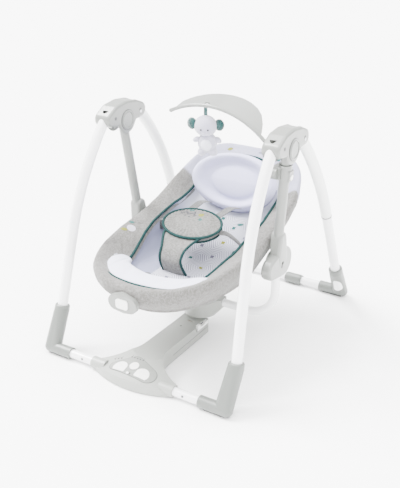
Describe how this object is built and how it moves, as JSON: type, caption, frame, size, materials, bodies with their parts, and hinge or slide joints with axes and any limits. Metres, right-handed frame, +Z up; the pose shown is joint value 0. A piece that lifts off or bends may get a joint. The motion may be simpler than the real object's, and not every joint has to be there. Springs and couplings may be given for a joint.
{
  "type": "portable baby swing",
  "caption": "Folding baby swing with a reclining padded seat hung from two side hubs, a toy bar with a hanging plush toy, and a control unit on the base.",
  "frame": {"origin": "middle of the footprint on the floor", "axes": "+Z up, +X to the right as seen from the front, +Y to the back; the toy bar is on the +X side"},
  "size_m": [0.5558, 0.7315, 0.6445],
  "materials": {
    "frame_white": "glossy white paint",
    "shell_grey": "light grey gloss",
    "foot_grey": "satin mid grey",
    "button_white": "gloss white",
    "panel_grey": "satin grey",
    "dark_plastic": "matt black",
    "rubber_grey": "matt",
    "steel": "plain steel",
    "copper": "wound wire",
    "cell": "printed sleeve",
    "seat_grey": "melange weave",
    "pad_print": "printed weave",
    "pillow_white": "soft weave",
    "strap_grey": "webbing",
    "plush": "short pile"
  },
  "bodies": {
    "stand": {"front_foot_r": "foot_grey", "front_foot_l": "foot_grey", "front_leg_r": "frame_white", "front_leg_l": "frame_white", "front_cross_r": "frame_white", "front_cross_l": "frame_white", "foot_pads_front": "rubber_grey", "hub_outer_r": "shell_grey", "hub_outer_l": "shell_grey", "hub_inner_r": "shell_grey", "hub_inner_l": "shell_grey", "hub_caps": "shell_grey", "axle_r": "steel", "axle_l": "steel", "fold_pin_r": "steel", "fold_pin_l": "steel", "control_top": "shell_grey", "control_base": "shell_grey", "control_panel": "panel_grey", "battery_door": "shell_grey", "batteries": "cell", "drive_coil": "copper"},
    "rear_frame": {"rear_foot_r": "foot_grey", "rear_foot_l": "foot_grey", "rear_leg_lower_r": "frame_white", "rear_leg_lower_l": "frame_white", "rear_leg_upper_r": "button_white", "rear_leg_upper_l": "button_white", "leg_rings": "dark_plastic", "rear_cross": "frame_white", "rear_coupler_r": "foot_grey", "rear_coupler_l": "foot_grey", "foot_pads_rear": "rubber_grey"},
    "swing": {"arm_r": "shell_grey", "arm_l": "shell_grey", "heel_r": "shell_grey", "heel_l": "shell_grey", "u_tube_r": "frame_white", "u_tube_l": "frame_white", "magnet_box": "shell_grey", "magnet": "steel", "toybar_mount": "shell_grey"},
    "seat": {"recline_disc_r": "shell_grey", "recline_disc_l": "shell_grey", "seat_rim": "frame_white", "seat_shell": "seat_grey", "seat_pad": "pad_print", "headrest": "pillow_white", "crotch_guard": "seat_grey", "harness_belts": "strap_grey", "vibration_unit": "shell_grey"},
    "toy_bar_body": {"toy_bar": "shell_grey"},
    "toy_body": {"toy": "plush"},
    "power_button_body": {"power_button": "button_white"},
    "timer_button_body": {"timer_button": "button_white"},
    "speed_button_body": {"speed_button": "button_white"},
    "mode_switch_body": {"mode_switch": "button_white"},
    "lock_lever_body": {"lock_lever": "button_white"},
    "toybar_release_body": {"toybar_release": "button_white"},
    "vibration_button_body": {"vibration_button": "button_white"}
  },
  "joints": [
    {"name": "frame_fold", "type": "hinge", "parent": "stand", "child": "rear_frame", "pos_m": [0, 0.0285, 0.562], "axis": [1, 0, 0], "range_deg": [-25, 0]},
    {"name": "seat_swing", "type": "hinge", "parent": "stand", "child": "swing", "pos_m": [0, -0.0285, 0.552], "axis": [1, 0, 0], "range_deg": [-14, 14]},
    {"name": "seat_recline", "type": "hinge", "parent": "swing", "child": "seat", "pos_m": [0, 0.0075, 0.24], "axis": [1, 0, 0], "range_deg": [0, 10]},
    {"name": "toy_bar_turn", "type": "hinge", "parent": "swing", "child": "toy_bar_body", "pos_m": [0.2, -0.0345, 0.488], "axis": [1, 0, 0], "range_deg": [-50, 0]},
    {"name": "toy_hang", "type": "hinge", "parent": "toy_bar_body", "child": "toy_body", "pos_m": [0.025, -0.0345, 0.6224], "axis": [1, 0, 0], "range_deg": [-30, 30]},
    {"name": "power_press", "type": "slide", "parent": "stand", "child": "power_button_body", "axis": [0, 0.2079, -0.9781], "range_m": [0, 0.0012], "stiffness_N_per_m": 600},
    {"name": "timer_press", "type": "slide", "parent": "stand", "child": "timer_button_body", "axis": [0, 0.2079, -0.9781], "range_m": [0, 0.0012], "stiffness_N_per_m": 600},
    {"name": "speed_press", "type": "slide", "parent": "stand", "child": "speed_button_body", "axis": [0, 0.2079, -0.9781], "range_m": [0, 0.0012], "stiffness_N_per_m": 600},
    {"name": "mode_slide", "type": "slide", "parent": "stand", "child": "mode_switch_body", "axis": [1, 0, 0], "range_m": [0, 0.0034]},
    {"name": "lock_slide", "type": "slide", "parent": "stand", "child": "lock_lever_body", "axis": [0, 1, 0], "range_m": [-0.005, 0]},
    {"name": "release_press", "type": "slide", "parent": "swing", "child": "toybar_release_body", "axis": [-0.9956, 0, 0.0938], "range_m": [0, 0.0012], "stiffness_N_per_m": 600},
    {"name": "vibration_press", "type": "slide", "parent": "seat", "child": "vibration_button_body", "axis": [0, 1, 0], "range_m": [0, 0.0012], "stiffness_N_per_m": 600}
  ]
}
